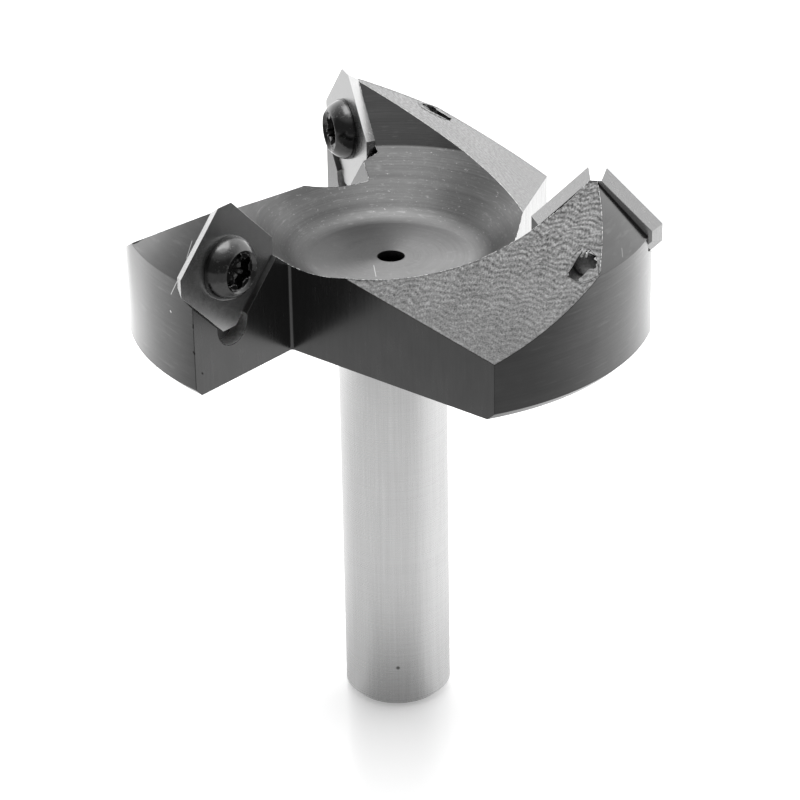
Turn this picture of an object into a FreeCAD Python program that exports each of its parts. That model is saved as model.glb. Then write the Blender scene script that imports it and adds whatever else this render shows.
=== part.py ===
"""Spoilboard surfacing bit: a one-piece three-wing cutter with square inserts.

Frame: the origin is on the tool's axis at the end face of the shank, and +Z points along the
axis to the cutting end. Wing 1 points along +X, and the others follow at equal angles.
Seen from the cutting end the tool turns anticlockwise, so every rake face looks along the
direction in which its wing moves: along +Y on wing 1. Sizes are in millimetres and degrees.
"""
import FreeCAD, Part
import os

import Sketcher

doc = FreeCAD.newDocument("surfacing_bit")

# Driving dimensions

SIZES = {
    # shank
    "shank_diameter": 12.7,
    "shank_length": 50.0,
    "shank_end_chamfer": 0.9,
    "shank_root_radius": 0.8,
    # turned head, from its underside up to the crest between bevel and dish
    "head_diameter": 61.0,
    "head_height": 20.3,
    "head_edge_chamfer": 0.9,
    "bevel_width": 6.2,
    "bevel_angle": 47.7,
    # dish turned into the cutting end
    "dish_depth": 13.1,
    "dish_step_diameter": 36.6,
    "dish_upper_angle": 48.7,
    "dish_lower_angle": 40.0,
    "dish_floor_fillet": 4.5,
    "centre_hole_diameter": 3.2,
    "centre_hole_depth": 12.0,
    "drill_point_angle": 118.0,
    # wings
    "wing_count": 3,
    "wing_face_offset": 2.6,
    "gullet_wall_offset": 14.55,
    "gullet_corner_radius": 0.35,
    "relief_angle": 29.8,
    "relief_lead": 0.6,
    "relief_drop": 0.2,
    # inserts
    "insert_overhang": 1.25,
    "insert_size": 12.0,
    "insert_thickness": 1.5,
    "insert_corner_width": 2.1,
    "insert_relief_angle": 35.0,
    "insert_hole_diameter": 4.3,
    "insert_drop": 6.8,
    "rake_offset": 3.05,
    # insert seats
    "seat_gap": 0.05,
    "seat_wall_angle": 20.0,
    "corner_relief_diameter": 4.8,
    "corner_relief_rise": 1.0,
    "tap_drill_diameter": 3.4,
    "tapped_depth": 11.3,
    # insert screws
    "screw_core_diameter": 3.3,
    "screw_length": 10.0,
    "screw_tip_chamfer": 0.4,
    "screw_head_diameter": 7.4,
    "screw_head_height": 2.2,
    "screw_head_edge": 0.3,
    "screw_head_top_diameter": 4.9,
    "screw_dome_radius": 3.2,
    "socket_lobes": 6,
    "socket_point_diameter": 4.2,
    "socket_root_diameter": 3.1,
    "socket_lobe_radius": 0.45,
    "socket_depth": 1.3,
    "socket_entry_depth": 0.35,
}

sheet = doc.addObject("Spreadsheet::Sheet", "Sizes")
for row, (alias, value) in enumerate(SIZES.items(), start=1):
    sheet.set(f"A{row}", alias)
    sheet.set(f"B{row}", str(value))
    sheet.setAlias(f"B{row}", alias)
doc.recompute()

# Sizes and places that follow from the driving dimensions

SHANK_RADIUS = "(Sizes.shank_diameter / 2)"
HEAD_RADIUS = "(Sizes.head_diameter / 2)"
CREST_RADIUS = f"({HEAD_RADIUS} - Sizes.bevel_width)"
CREST_Z = "(Sizes.shank_length + Sizes.head_height)"
BEVEL_FALL = "(Sizes.bevel_width * tan(Sizes.bevel_angle))"

DISH_FLOOR_Z = f"({CREST_Z} - Sizes.dish_depth)"
STEP_RADIUS = "(Sizes.dish_step_diameter / 2)"
STEP_Z = f"({CREST_Z} - ({CREST_RADIUS} - {STEP_RADIUS}) * tan(Sizes.dish_upper_angle))"
DISH_CORNER_RADIUS = f"({STEP_RADIUS} - ({STEP_Z} - {DISH_FLOOR_Z}) / tan(Sizes.dish_lower_angle))"
FILLET_TANGENT = "(Sizes.dish_floor_fillet * tan(Sizes.dish_lower_angle / 2))"
CENTRE_HOLE_RADIUS = "(Sizes.centre_hole_diameter / 2)"
CENTRE_HOLE_Z = f"({DISH_FLOOR_Z} - Sizes.centre_hole_depth)"
DRILL_POINT_Z = f"({CENTRE_HOLE_Z} - {CENTRE_HOLE_RADIUS} / tan(Sizes.drill_point_angle / 2))"

SEAT_FLOOR = "(Sizes.rake_offset + Sizes.insert_thickness)"
SEAT_DEPTH = f"({SEAT_FLOOR} - Sizes.wing_face_offset)"
INSERT_REACH = "(Sizes.insert_size / sqrt(2) - Sizes.insert_corner_width / 2)"
CUTTING_RADIUS = f"({HEAD_RADIUS} + Sizes.insert_overhang)"
INSERT_X = f"(sqrt({CUTTING_RADIUS}^2 - Sizes.rake_offset^2) - {INSERT_REACH})"
INSERT_Z = f"({CREST_Z} - Sizes.insert_drop)"
SEAT_NARROWING = "(Sizes.insert_thickness * tan(Sizes.seat_wall_angle))"
NEST_Z = f"({INSERT_Z} - (Sizes.insert_size / 2 + Sizes.seat_gap - {SEAT_NARROWING}) * sqrt(2))"
RELIEF_LINE_ANGLE = f"asin(({SEAT_FLOOR} - Sizes.relief_lead) / {CREST_RADIUS})"

# How far a cutting profile runs past the metal that it removes
PAST = 2.0


def origin_plane(body, role):
    """Return one of the body's own origin planes."""
    return next(feature for feature in body.Origin.OriginFeatures if feature.Role == role)


def new_body(name):
    """Start a sub-part whose name is also its node and file name."""
    body = doc.addObject("PartDesign::Body", name)
    body.Label = name
    return body


def new_sketch(body, name, role, across="0", up="0", out="0"):
    """Add a sketch on an origin plane, with its own origin moved by three expressions."""
    sketch = body.newObject("Sketcher::SketchObject", name)
    sketch.AttachmentSupport = (origin_plane(body, role), [""])
    sketch.MapMode = "FlatFace"
    for axis, expression in (("x", across), ("y", up), ("z", out)):
        if expression != "0":
            sketch.setExpression(f"AttachmentOffset.Base.{axis}", expression)
    doc.recompute()
    return sketch


def number(sketch, expression):
    """Work out an expression over the sheet as a plain number."""
    value = sketch.evalExpression(expression)
    return float(getattr(value, "Value", value))


def pin(sketch, edge, end, across, up):
    """Tie a point of the sketch to the two expressions that give its place."""
    for kind, expression, axis in (("DistanceX", across, -2), ("DistanceY", up, -1)):
        if expression == "0":
            sketch.addConstraint(Sketcher.Constraint("PointOnObject", edge, end, axis))
            continue
        value = number(sketch, expression)
        index = sketch.addConstraint(Sketcher.Constraint(kind, -1, 1, edge, end, value))
        sketch.setExpression(f"Constraints[{index}]", expression)


def arc_between(begin, finish, radius):
    """Return the short arc from one point to another, turning left when the radius is positive."""
    chord = finish - begin
    left = FreeCAD.Vector(-chord.y, chord.x, 0).normalize()
    height = (radius**2 - (chord.Length / 2) ** 2) ** 0.5
    turn = 1 if radius > 0 else -1
    centre = (begin + finish) / 2 + left * height * turn
    crown = centre - left * abs(radius) * turn
    return Part.Arc(begin, crown, finish)


def draw_outline(sketch, corners, arcs=None):
    """Draw a closed outline through corners given as pairs of expressions.

    arcs maps the position of a corner to the expression for the radius of the arc that runs
    from it to the next corner, negative where the arc turns right.
    """
    arcs = arcs or {}
    points = [FreeCAD.Vector(number(sketch, x), number(sketch, y), 0) for x, y in corners]
    ends = []
    for here, begin in enumerate(points):
        finish = points[(here + 1) % len(points)]
        if here in arcs:
            radius = number(sketch, arcs[here])
            edge = sketch.addGeometry(arc_between(begin, finish, radius), False)
            index = sketch.addConstraint(Sketcher.Constraint("Radius", edge, abs(radius)))
            sketch.setExpression(f"Constraints[{index}]", f"abs({arcs[here]})")
        else:
            edge = sketch.addGeometry(Part.LineSegment(begin, finish), False)
        onward = (sketch.getPoint(edge, 1) - begin).Length < (sketch.getPoint(edge, 2) - begin).Length
        ends.append((edge, 1, 2) if onward else (edge, 2, 1))
    for here, (edge, first, last) in enumerate(ends):
        after, after_first, _ = ends[(here + 1) % len(ends)]
        sketch.addConstraint(Sketcher.Constraint("Coincident", edge, last, after, after_first))
        pin(sketch, edge, first, *corners[here])
    doc.recompute()


def draw_circle(sketch, across, up, radius):
    """Draw a circle whose centre and radius are expressions."""
    centre = FreeCAD.Vector(number(sketch, across), number(sketch, up), 0)
    normal = FreeCAD.Vector(0, 0, 1)
    size = number(sketch, radius)
    edge = sketch.addGeometry(Part.Circle(centre, normal, size), False)
    pin(sketch, edge, 3, across, up)
    index = sketch.addConstraint(Sketcher.Constraint("Radius", edge, size))
    sketch.setExpression(f"Constraints[{index}]", radius)
    doc.recompute()


def revolve(body, name, sketch, axis):
    """Turn a sketch once round one of its own axes."""
    feature = body.newObject("PartDesign::Revolution", name)
    feature.Profile = sketch
    feature.ReferenceAxis = (sketch, [axis])
    feature.Angle = 360
    doc.recompute()
    return feature


def cut(body, name, sketch, length=None, back=None, reverse=False, taper=None):
    """Cut a sketch's shape out of the body: through it all, to one length, or to two."""
    before = body.Shape.Volume
    feature = body.newObject("PartDesign::Pocket", name)
    feature.Profile = sketch
    feature.Reversed = reverse
    if length is None:
        feature.Type = "ThroughAll"
        feature.Midplane = True
    else:
        feature.setExpression("Length", length)
    if back is not None:
        feature.SideType = "Two sides"
        feature.setExpression("Length2", back)
    if taper is not None:
        feature.setExpression("TaperAngle", taper)
    doc.recompute()
    if not body.Shape.Volume < before:
        raise RuntimeError(f"{name} removes nothing")
    return feature


def repeat(body, name, axis, count, originals=None):
    """Repeat features, or the whole body where none are named, round an axis."""
    pattern = body.newObject("PartDesign::PolarPattern", name)
    if originals is None:
        pattern.TransformMode = "Whole shape"
    else:
        pattern.Originals = originals
    pattern.Axis = axis
    pattern.Angle = 360
    pattern.setExpression("Occurrences", count)
    body.Tip = pattern
    doc.recompute()
    return pattern


def tool_axis(body):
    """Return the body's own Z axis as a reference for a pattern."""
    return (next(f for f in body.Origin.OriginFeatures if f.Role == "Z_Axis"), [""])


# Cutter body: shank, head and wings in one piece


def turned_blank(body):
    """Turn the shank, the head with its bevelled rim, the dish and the centre hole."""
    sketch = new_sketch(body, "turned_profile", "XZ_Plane")
    corners = [
        ("0", "0"),
        (f"{SHANK_RADIUS} - Sizes.shank_end_chamfer", "0"),
        (SHANK_RADIUS, "Sizes.shank_end_chamfer"),
        (SHANK_RADIUS, "Sizes.shank_length - Sizes.shank_root_radius"),
        (f"{SHANK_RADIUS} + Sizes.shank_root_radius", "Sizes.shank_length"),
        (f"{HEAD_RADIUS} - Sizes.head_edge_chamfer", "Sizes.shank_length"),
        (HEAD_RADIUS, "Sizes.shank_length + Sizes.head_edge_chamfer"),
        (HEAD_RADIUS, f"{CREST_Z} - {BEVEL_FALL}"),
        (CREST_RADIUS, CREST_Z),
        (STEP_RADIUS, STEP_Z),
        (
            f"{DISH_CORNER_RADIUS} + {FILLET_TANGENT} * cos(Sizes.dish_lower_angle)",
            f"{DISH_FLOOR_Z} + {FILLET_TANGENT} * sin(Sizes.dish_lower_angle)",
        ),
        (f"{DISH_CORNER_RADIUS} - {FILLET_TANGENT}", DISH_FLOOR_Z),
        (CENTRE_HOLE_RADIUS, DISH_FLOOR_Z),
        (CENTRE_HOLE_RADIUS, CENTRE_HOLE_Z),
        ("0", DRILL_POINT_Z),
    ]
    arcs = {3: "-Sizes.shank_root_radius", 10: "-Sizes.dish_floor_fillet"}
    draw_outline(sketch, corners, arcs)
    return revolve(body, "turned_blank", sketch, "V_Axis")


def gullet(body):
    """Clear the chips' way in front of wing 1, down to the back face of wing 2."""
    sketch = new_sketch(body, "gullet_outline", "XY_Plane")
    wall = "Sizes.gullet_wall_offset"
    face = "-Sizes.wing_face_offset"
    radius = "Sizes.gullet_corner_radius"
    beyond = f"{HEAD_RADIUS} + {PAST}"
    corners = [
        (wall, beyond),
        (wall, f"{face} + {radius}"),
        (f"{wall} + {radius}", face),
        (beyond, face),
        (beyond, beyond),
    ]
    draw_outline(sketch, corners, {1: radius})
    return cut(body, "gullet", sketch)


def relief(body):
    """Mill the sloping back of wing 1, from the top of its seat down to its back face."""
    sketch = new_sketch(body, "relief_outline", "YZ_Plane")
    sketch.AttachmentOffset = FreeCAD.Placement(
        FreeCAD.Vector(), FreeCAD.Rotation(FreeCAD.Vector(0, 1, 0), -10)
    )
    sketch.setExpression("AttachmentOffset.Rotation.Angle", f"-{RELIEF_LINE_ANGLE}")
    doc.recompute()
    width = f"({HEAD_RADIUS} + {PAST})"
    top = f"({CREST_Z} - Sizes.relief_drop)"
    corners = [
        ("0", top),
        (f"-{width}", f"{top} - {width} * tan(Sizes.relief_angle)"),
        (f"-{width}", f"{CREST_Z} + {PAST}"),
        ("0", f"{CREST_Z} + {PAST}"),
    ]
    draw_outline(sketch, corners)
    return cut(body, "relief", sketch, f"{HEAD_RADIUS} + {PAST}", f"{PAST}", reverse=True)


def seat(body):
    """Cut the square nest of insert 1, whose walls lean outwards, and the relief at its corner."""
    sketch = new_sketch(body, "seat_outline", "XZ_Plane", out=SEAT_FLOOR)
    rise = f"({CREST_Z} + {PAST} - {NEST_Z})"
    corners = [
        (INSERT_X, NEST_Z),
        (f"{INSERT_X} + {rise}", f"{NEST_Z} + {rise}"),
        (f"{INSERT_X} - {rise}", f"{NEST_Z} + {rise}"),
    ]
    draw_outline(sketch, corners)
    nest = cut(body, "seat", sketch, f"{SEAT_DEPTH} + {PAST}", taper="Sizes.seat_wall_angle")
    corner = new_sketch(body, "corner_relief_outline", "XZ_Plane", out=SEAT_FLOOR)
    rise = f"{NEST_Z} + Sizes.corner_relief_rise"
    draw_circle(corner, INSERT_X, rise, "Sizes.corner_relief_diameter / 2")
    return nest, cut(body, "corner_relief", corner, f"{SEAT_DEPTH} + {PAST}")


def tapped_hole(body):
    """Drill the blind hole of screw 1, which breaks out through the relief near its end."""
    sketch = new_sketch(body, "tapped_hole_centre", "XZ_Plane", out=SEAT_FLOOR)
    draw_circle(sketch, INSERT_X, INSERT_Z, "Sizes.tap_drill_diameter / 2")
    before = body.Shape.Volume
    hole = body.newObject("PartDesign::Hole", "tapped_hole")
    hole.Profile = sketch
    doc.recompute()
    hole.Reversed = True
    hole.Threaded = False
    hole.DepthType = "Dimension"
    hole.DrillPoint = "Angled"
    hole.setExpression("Diameter", "Sizes.tap_drill_diameter")
    hole.setExpression("Depth", "Sizes.tapped_depth")
    hole.setExpression("DrillPointAngle", "Sizes.drill_point_angle")
    doc.recompute()
    if not body.Shape.Volume < before:
        raise RuntimeError("tapped_hole removes nothing")
    return hole


def make_cutter_body():
    body = new_body("cutter_body")
    turned_blank(body)
    first_wing = [gullet(body), relief(body), *seat(body), tapped_hole(body)]
    repeat(body, "wings", tool_axis(body), "Sizes.wing_count", first_wing)
    return body


# Inserts: square, turned onto a corner, with a small facet at each of the four


def make_insert(wing):
    body = new_body(f"insert_{wing}")
    sketch = new_sketch(
        body, f"insert_outline_{wing}", "XZ_Plane", across=INSERT_X, up=INSERT_Z, out="Sizes.rake_offset"
    )
    half = "(Sizes.insert_corner_width / 2)"
    ring = [(INSERT_REACH, half), (half, INSERT_REACH)]
    ring += [(f"-{x}", y) for x, y in reversed(ring)]
    ring += [(x, f"-{y}") for x, y in reversed(ring)]
    draw_outline(sketch, ring)
    pad = body.newObject("PartDesign::Pad", f"insert_blank_{wing}")
    pad.Profile = sketch
    pad.setExpression("Length", "Sizes.insert_thickness")
    pad.setExpression("TaperAngle", "-Sizes.insert_relief_angle")
    doc.recompute()
    hole = new_sketch(
        body, f"insert_hole_outline_{wing}", "XZ_Plane", across=INSERT_X, up=INSERT_Z, out="Sizes.rake_offset"
    )
    draw_circle(hole, "0", "0", "Sizes.insert_hole_diameter / 2")
    cut(body, f"insert_hole_{wing}", hole)
    body.Placement = FreeCAD.Placement(
        FreeCAD.Vector(), FreeCAD.Rotation(FreeCAD.Vector(0, 0, 1), 360 / sheet.wing_count * (wing - 1))
    )
    body.setExpression("Placement.Rotation.Angle", f"360 / Sizes.wing_count * {wing - 1}")
    return body


# Insert screws: a button head with a six-lobe socket, once on each wing


def make_insert_screws():
    body = new_body("insert_screws")
    profile = new_sketch(
        body, "screw_profile", "YZ_Plane", across="-Sizes.rake_offset", up=INSERT_Z, out=INSERT_X
    )
    shank = "Sizes.screw_core_diameter / 2"
    head = "Sizes.screw_head_diameter / 2"
    floor = "Sizes.screw_head_height - Sizes.socket_entry_depth"
    corners = [
        ("-Sizes.screw_length", "0"),
        ("-Sizes.screw_length", f"{shank} - Sizes.screw_tip_chamfer"),
        ("-Sizes.screw_length + Sizes.screw_tip_chamfer", shank),
        ("0", shank),
        ("0", head),
        ("Sizes.screw_head_edge", head),
        ("Sizes.screw_head_height", "Sizes.screw_head_top_diameter / 2"),
        (floor, "Sizes.socket_point_diameter / 2"),
        (floor, "0"),
    ]
    draw_outline(profile, corners, {5: "-Sizes.screw_dome_radius"})
    revolve(body, "screw_blank", profile, "H_Axis")
    top = "Sizes.rake_offset - Sizes.screw_head_height"
    depth = "Sizes.socket_entry_depth + Sizes.socket_depth"
    core = new_sketch(body, "socket_core", "XZ_Plane", across=INSERT_X, up=INSERT_Z, out=top)
    draw_circle(core, "0", "0", "Sizes.socket_root_diameter / 2")
    cut(body, "socket", core, depth, reverse=True)
    lobe = new_sketch(body, "socket_lobe", "XZ_Plane", across=INSERT_X, up=INSERT_Z, out=top)
    reach = "Sizes.socket_point_diameter / 2 - Sizes.socket_lobe_radius"
    draw_circle(lobe, "0", reach, "Sizes.socket_lobe_radius")
    first_lobe = cut(body, "lobe", lobe, depth, reverse=True)
    repeat(body, "lobes", (core, ["N_Axis"]), "Sizes.socket_lobes", [first_lobe])
    repeat(body, "screws", tool_axis(body), "Sizes.wing_count")
    return body


wings = int(sheet.wing_count)
parts = [make_cutter_body()]
parts += [make_insert(wing) for wing in range(1, wings + 1)]
parts.append(make_insert_screws())
doc.recompute()

# Check every object and every solid, then write the files

for item in doc.Objects:
    if {"Invalid", "Error"} & set(item.State):
        raise RuntimeError(f"{item.Label} could not be computed")

os.makedirs("parts", exist_ok=True)
for part in parts:
    shape = part.Shape
    if shape.isNull() or not shape.isValid():
        raise RuntimeError(f"{part.Label} is not a valid solid")
    print(part.Label, len(shape.Solids), "solid(s)", round(shape.Volume, 3), "mm3")
    shape.exportStep(f"parts/{part.Label}.step")
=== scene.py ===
"""Finish of a spoilboard surfacing bit: blackened head, ground shank, inserts, screws and a plain stage.

The file is laid out as an add-on and is run as a script. The packed model is the fixed frame: the
origin is on the tool's axis at the end of the shank, +Z points to the cutting end, and wing 1 points
along +X. Sizes in the tables are in millimetres, and meshes are in metres.
"""
import math

import bmesh
import bpy
import numpy as np
from bpy.props import FloatProperty, IntProperty, PointerProperty
from mathutils import Matrix, Vector
from mathutils.geometry import delaunay_2d_cdt


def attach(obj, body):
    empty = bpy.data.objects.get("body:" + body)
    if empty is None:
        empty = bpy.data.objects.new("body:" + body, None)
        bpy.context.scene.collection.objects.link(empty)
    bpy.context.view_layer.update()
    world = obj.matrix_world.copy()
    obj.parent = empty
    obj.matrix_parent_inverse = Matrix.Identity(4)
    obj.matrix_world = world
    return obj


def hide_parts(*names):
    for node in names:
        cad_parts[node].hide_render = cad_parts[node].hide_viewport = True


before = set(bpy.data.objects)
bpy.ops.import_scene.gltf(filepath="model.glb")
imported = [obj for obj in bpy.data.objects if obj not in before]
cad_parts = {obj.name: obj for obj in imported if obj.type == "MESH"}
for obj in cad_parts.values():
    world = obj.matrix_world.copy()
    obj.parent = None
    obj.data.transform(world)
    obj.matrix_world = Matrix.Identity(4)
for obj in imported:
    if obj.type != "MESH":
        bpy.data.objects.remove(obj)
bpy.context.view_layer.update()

bl_info = {
    "name": "Surfacing bit finish",
    "version": (1, 0, 0),
    "blender": (4, 5, 0),
    "location": "3D View > Sidebar > Surfacing bit",
    "description": "Dresses the packed surfacing bit in its finishes and sets its stage",
    "category": "Object",
}

MM = 0.001
WINGS = 3

# Turned profile of the cutter body: name, start and end as (radius, height), and the centre of an arc
PROFILE = (
    ("shank end", (0.0, 0.0), (5.45, 0.0), None),
    ("end chamfer", (5.45, 0.0), (6.35, 0.9), None),
    ("shank", (6.35, 0.9), (6.35, 49.2), None),
    ("root", (6.35, 49.2), (7.15, 50.0), (7.15, 49.2)),
    ("underside", (7.15, 50.0), (29.6, 50.0), None),
    ("rim chamfer", (29.6, 50.0), (30.5, 50.9), None),
    ("rim", (30.5, 50.9), (30.5, 63.486), None),
    ("bevel", (30.5, 63.486), (24.3, 70.3), None),
    ("dish upper", (24.3, 70.3), (18.3, 63.47), None),
    ("dish lower", (18.3, 63.47), (12.082, 58.253), None),
    ("dish corner", (12.082, 58.253), (9.189, 57.2), (9.189, 61.7)),
    ("dish floor", (9.189, 57.2), (1.6, 57.2), None),
    ("centre hole", (1.6, 57.2), (1.6, 45.2), None),
    ("centre point", (1.6, 45.2), (0.0, 44.239), None),
)
GROUND = ("shank end", "end chamfer", "shank", "root")
STEP_RADIUS = 18.3
CREST_RADIUS = 24.3

# Inserts and their seats
RAKE_OFFSET = 3.05
CUTTING_RADIUS = 31.75
INSERT_SIZE = 12.0
INSERT_THICKNESS = 1.5
INSERT_TAPER = math.radians(35)
HALF_FACET = 1.05
INSERT_REACH = INSERT_SIZE / math.sqrt(2) - HALF_FACET
INSERT_OUT = math.sqrt(CUTTING_RADIUS**2 - RAKE_OFFSET**2) - INSERT_REACH
INSERT_HEIGHT = 63.5
INSERT_HOLE = 2.15
SEAT_OFFSET = RAKE_OFFSET + INSERT_THICKNESS
FACE_OFFSET = 2.6

# Sloping backs and the tapped holes that break out of them
RELIEF_HEIGHT = 70.1
RELIEF_LEAD = 0.6
RELIEF_TILT = math.radians(29.8)
RELIEF_TURN = math.asin((SEAT_OFFSET - RELIEF_LEAD) / CREST_RADIUS)
HOLE_RADIUS = 1.7
HOLE_END = SEAT_OFFSET + 11.3

# Head of a screw, as (radius, height over the insert): its edge and its top, then the radius at which the
# dome ends and the radius of its arc
HEAD_EDGE = (3.7, 0.3)
HEAD_TOP = (2.45, 2.2)
DOME_END = 2.5
DOME_RADIUS = 3.2
DOME_STEPS = 12

# Heights below which the dish and the bevel carry no burrs
LOWEST_BURR = 56.5
LOWEST_BEVEL_BURR = 63.6

# How near a point has to lie to count as on a surface, and to count as on the turned profile
TOUCH = 0.01
PROFILE_TOUCH = 0.02

# Net of the milling marks: the step between its rows as a share of its grid, and the strip along its border
# over which the marks fade in
ROW_SHARE = 0.87
MARK_FADE = 0.25

# Cells of the tables of random values, before they repeat
CELLS = 64

# Angles in degrees up to which shading is smooth
SMOOTH_ANGLE = 40
THREAD_SMOOTH_ANGLE = 50

# How far down its seat a screw's end face lies
SCREW_END = 12.4

# Place and aim of the lamp, in metres
LAMP_PLACE = (-0.05, 0.12, 0.75)
LAMP_AIM = (0, 0, 0.06)
LAMP_SIZE = 0.5
FLOOR_SIDES = 96

# Counts of points round an insert's hole, a screw and a thread
HOLE_POINTS = 64
SCREW_POINTS = 144
THREAD_POINTS = 72

# Dark spot low on the shank
SPOT = (1.13, -6.25, 5.56)

# Thin lines and small spots that the photo shows, lighter or darker: start, end, half width and added
# reflectance
LINES_AND_SPOTS = (
    ((-18.32, -20.39, 66.88), (-18.64, -21.85, 65.43), 0.07, 0.3),
    ((-19.41, -23.52, 63.37), (-20.39, -22.68, 61.38), 0.07, 0.35),
    ((-1.51, -2.83, 57.2), (-0.68, -5.87, 57.2), 0.06, 0.25),
    ((27.81, -10.27, 64.42), (28.01, -11.22, 63.84), 0.09, 0.08),
    ((-20.61, -22.47, 59.24), (-20.53, -22.55, 59.16), 0.12, 0.5),
    ((-17.48, -25.0, 58.93), (-17.5, -24.98, 58.56), 0.12, -0.09),
    ((-17.59, -24.91, 55.6), (-17.46, -25.01, 55.4), 0.16, -0.09),
    ((-16.94, -24.14, 52.71), (-16.86, -24.01, 52.53), 0.12, -0.09),
)

# Torn skin round the mouth of a tapped hole, as one outline out along the crest and down the slope
LIP = (
    (24.61, 13.38), (24.8, 13.28), (24.92, 12.76), (25.04, 12.28), (25.11, 11.85), (25.18, 11.5),
    (25.26, 11.19), (25.33, 11.01), (25.35, 10.82), (25.49, 10.34), (25.6, 10.37), (25.49, 10.99),
    (25.68, 11.13), (25.82, 11.03), (25.85, 10.82), (25.94, 10.11), (26.07, 10.17), (26.04, 10.9),
    (26.16, 11.1), (26.27, 10.98), (26.27, 10.14), (26.4, 10.0), (26.89, 10.39), (27.18, 10.65),
    (27.38, 11.0), (27.56, 11.47), (27.59, 11.89), (27.58, 12.2), (27.42, 12.43), (27.17, 12.41),
    (26.93, 12.49), (26.79, 12.7), (26.67, 12.96), (26.58, 13.19), (26.44, 13.52), (26.31, 13.73),
    (26.13, 13.98), (26.21, 14.43), (26.71, 14.54), (27.27, 14.3), (27.78, 13.84), (28.21, 13.31),
    (28.34, 12.84), (28.23, 12.17), (27.89, 11.08), (27.34, 9.94), (26.45, 9.69), (24.99, 9.91),
    (24.62, 10.66), (24.46, 11.76), (24.45, 12.68),
)

# Round walls in wing 1, which are its tapped hole, its corner relief and its gullet's corner: a point on the
# axis, the axis, and the radius
ROUND_WALLS = (
    ((INSERT_OUT, 0.0, INSERT_HEIGHT), (0.0, 1.0, 0.0), HOLE_RADIUS),
    ((INSERT_OUT, 0.0, 56.716), (0.0, 1.0, 0.0), 2.4),
    ((14.9, -2.25, 0.0), (0.0, 0.0, 1.0), 0.35),
)

# Numbers that mark the faces: the turned stretches count from 1, each round wall adds its own step and the
# wing, and each slope adds the wing
ROUND_WALL = 100
WALL_STEP = 10
DRILL_END = 190
SEAT_WALL = 191
SLOPE = 200

# Material slots of the cutter body, and those of its round walls
GROUND_SLOT, TURNED_SLOT, MILLED_SLOT, SCALED_SLOT, TAPPED_SLOT, SEAT_SLOT, DRILLED_SLOT = range(7)
WALL_SLOTS = (TAPPED_SLOT, DRILLED_SLOT, MILLED_SLOT)

# The photo's camera, in the tool's frame
CAMERA_PLACE = (62.48342, -335.43285, 209.9081)
CAMERA_RIGHT = (0.9847166, 0.17352102, -0.01495574)
CAMERA_UP = (-0.06471887, 0.44428826, 0.89354318)
CAMERA_AHEAD = (-0.16169318, 0.87891888, -0.44872811)


def turn_of(wing):
    """Return the turn about the tool's axis that takes wing 1 to a wing counted from 0."""
    return Matrix.Rotation(math.tau * wing / WINGS, 3, "Z")


def slope_axes(wing):
    """Return a slope's directions out along its crest, down its fall and away from the metal."""
    turn = turn_of(wing)
    out = turn @ Vector((math.cos(RELIEF_TURN), -math.sin(RELIEF_TURN), 0))
    flat_fall = turn @ Vector((-math.sin(RELIEF_TURN), -math.cos(RELIEF_TURN), 0))
    fall = flat_fall * math.cos(RELIEF_TILT) - Vector((0, 0, math.sin(RELIEF_TILT)))
    normal = flat_fall * math.sin(RELIEF_TILT) + Vector((0, 0, math.cos(RELIEF_TILT)))
    return out, fall, normal


def even_angles(count):
    """Return equal steps of a full turn."""
    return [math.tau * i / count for i in range(count)]


# Sizes and colours that a user would change


class BodyLook(bpy.types.PropertyGroup):
    """Finish of the cutter body."""

    head_tone: FloatProperty(
        name="Head tone", description="Reflectance of the blackened head", default=0.1, min=0, max=1
    )
    shank_tone: FloatProperty(
        name="Shank tone", description="Reflectance of the ground shank", default=0.66, min=0, max=1
    )
    mark_grid: FloatProperty(
        name="Mark grid",
        description="Distance between the points that carry the milling marks",
        default=0.125 * MM,
        min=0.05 * MM,
        unit="LENGTH",
        precision=6,
    )
    mark_rows: FloatProperty(
        name="Mark rows",
        description="Distance between rows of milling marks",
        default=0.74 * MM,
        unit="LENGTH",
        precision=6,
    )
    mark_depth: FloatProperty(
        name="Mark depth",
        description="Depth of the milling marks",
        default=0.045 * MM,
        unit="LENGTH",
        precision=6,
    )
    lip_thickness: FloatProperty(
        name="Lip thickness",
        description="Thickness of the torn skin at the mouths of the tapped holes",
        default=0.12 * MM,
        unit="LENGTH",
        precision=6,
    )
    lip_rise: FloatProperty(
        name="Lip rise",
        description="How far the torn lips lie over the slopes",
        default=0.01 * MM,
        unit="LENGTH",
        precision=6,
    )
    edge_break: FloatProperty(
        name="Edge break",
        description="Radius over which sharp edges catch the light",
        default=0.15 * MM,
        unit="LENGTH",
        precision=6,
    )


class BurrLook(bpy.types.PropertyGroup):
    """Burrs left along the milled edges."""

    thickness: FloatProperty(
        name="Thickness", description="Radius of a burr", default=0.045 * MM, unit="LENGTH", precision=6
    )
    spacing: FloatProperty(
        name="Spacing",
        description="Distance between a burr's points",
        default=0.16 * MM,
        unit="LENGTH",
        precision=6,
    )
    seed: IntProperty(name="Seed", description="Seed of the burrs' random sizes", default=7)


class InsertLook(bpy.types.PropertyGroup):
    """Carbide inserts."""

    tone: FloatProperty(name="Tone", description="Reflectance of the carbide", default=0.45, min=0, max=1)
    edge_hone: FloatProperty(
        name="Edge hone",
        description="Width of the honed edges",
        default=0.035 * MM,
        unit="LENGTH",
        precision=6,
    )


class ScrewLook(bpy.types.PropertyGroup):
    """Insert screws and their threads."""

    tone: FloatProperty(
        name="Tone", description="Reflectance of the black screws", default=0.085, min=0, max=1
    )
    pitch: FloatProperty(
        name="Thread pitch",
        description="Pitch of the screws' thread",
        default=0.7 * MM,
        unit="LENGTH",
        precision=6,
    )


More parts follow.
